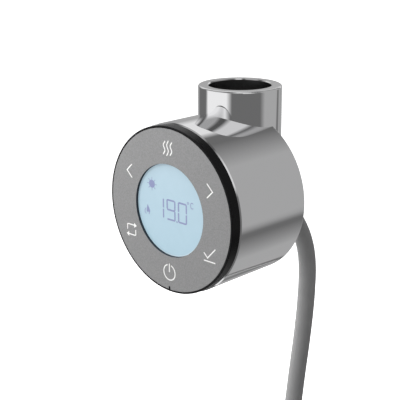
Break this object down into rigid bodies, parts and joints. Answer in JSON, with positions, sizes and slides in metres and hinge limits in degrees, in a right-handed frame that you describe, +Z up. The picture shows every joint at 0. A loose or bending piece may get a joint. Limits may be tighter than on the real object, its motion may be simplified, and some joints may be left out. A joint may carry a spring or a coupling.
{
  "type": "heating element control head",
  "caption": "Round digital thermostat head with a display, six touch keys and an upright socket that fits over a plug-in heating element, with a mains cord",
  "frame": {"origin": "centre of the floor of the socket that slides over the heating element's neck", "axes": "+Z up along the socket's axis, out of its mouth; the face looks along -Y; +X is to the right of someone facing it"},
  "size_m": [0.1215, 0.0876, 0.346],
  "materials": {
    "chrome": "polished chrome plating",
    "black_plastic": "satin black moulding",
    "panel_grey": "finely grained grey",
    "window": "clear pane over a pale blue display",
    "lcd": "pale blue display cell",
    "diffuser": "white light guide",
    "white_plastic": "white moulding",
    "key_plastic": "grey moulding",
    "board": "green laminate with solder mask",
    "component": "black epoxy and housings",
    "relay_case": "blue case",
    "supply_case": "black potted case",
    "capacitor_case": "yellow case",
    "varistor_case": "blue dipped disc",
    "terminal_green": "green moulding",
    "brass": "turned brass",
    "steel": "zinc-plated steel",
    "black_steel": "blackened steel",
    "rubber": "black rubber",
    "lead_brown": "silicone insulation",
    "cord_grey": "grey PVC jacket",
    "tie": "woven hook-and-loop strap",
    "pin_brass": "nickel-plated brass pins"
  },
  "bodies": {
    "root": {"housing": "chrome", "front_ring": "black_plastic", "front_seal": "rubber", "face_panel": "panel_grey", "display_window": "window", "lcd_panel": "lcd", "backlight_diffuser": "diffuser", "lcd_frame": "white_plastic", "tact_switches": "component", "display_board": "board", "controller_chip": "component", "board_header": "component", "chassis": "black_plastic", "board_screws": "steel", "power_board": "board", "terminal_block": "terminal_green", "room_sensor": "component", "element_socket": "white_plastic", "socket_contacts": "brass", "seat_seal": "rubber", "heater_leads": "lead_brown", "supply_leads": "lead_brown", "cord_boot": "cord_grey", "relay": "relay_case", "power_supply": "supply_case", "film_capacitor": "capacitor_case", "varistor": "varistor_case", "fuse": "component", "supply_cord": "cord_grey", "cord_coil": "cord_grey", "cord_tail": "cord_grey", "cord_tie": "tie", "plug_sleeve": "cord_grey", "plug_body": "cord_grey", "plug_pins": "pin_brass", "plug_earth_clips": "steel"},
    "key_heat": {"key_heat": "key_plastic"},
    "key_next": {"key_next": "key_plastic"},
    "key_confirm": {"key_confirm": "key_plastic"},
    "key_power": {"key_power": "key_plastic"},
    "key_program": {"key_program": "key_plastic"},
    "key_back": {"key_back": "key_plastic"},
    "set_screw_pad": {"set_screw_pad": "brass"},
    "set_screw": {"set_screw": "black_steel"}
  },
  "joints": [
    {"name": "key_heat_press", "type": "slide", "parent": "root", "child": "key_heat", "axis": [0, 1, 0], "range_m": [0, 0.0003], "stiffness_N_per_m": 1500, "springref_m": -0.0003},
    {"name": "key_next_press", "type": "slide", "parent": "root", "child": "key_next", "axis": [0, 1, 0], "range_m": [0, 0.0003], "stiffness_N_per_m": 1500, "springref_m": -0.0003},
    {"name": "key_confirm_press", "type": "slide", "parent": "root", "child": "key_confirm", "axis": [0, 1, 0], "range_m": [0, 0.0003], "stiffness_N_per_m": 1500, "springref_m": -0.0003},
    {"name": "key_power_press", "type": "slide", "parent": "root", "child": "key_power", "axis": [0, 1, 0], "range_m": [0, 0.0003], "stiffness_N_per_m": 1500, "springref_m": -0.0003},
    {"name": "key_program_press", "type": "slide", "parent": "root", "child": "key_program", "axis": [0, 1, 0], "range_m": [0, 0.0003], "stiffness_N_per_m": 1500, "springref_m": -0.0003},
    {"name": "key_back_press", "type": "slide", "parent": "root", "child": "key_back", "axis": [0, 1, 0], "range_m": [0, 0.0003], "stiffness_N_per_m": 1500, "springref_m": -0.0003},
    {"name": "set_screw_advance", "type": "slide", "parent": "root", "child": "set_screw_pad", "axis": [0, -1, 0], "range_m": [0, 0.0016]},
    {"name": "set_screw_turn", "type": "hinge", "parent": "set_screw_pad", "child": "set_screw", "pos_m": [0, 0.0131, 0.012], "axis": [0, -1, 0], "range_deg": [0, 721]}
  ],
  "couplings": [
    {"joint": "set_screw_turn", "follows": "set_screw_advance", "rad_per_m": 7854}
  ]
}
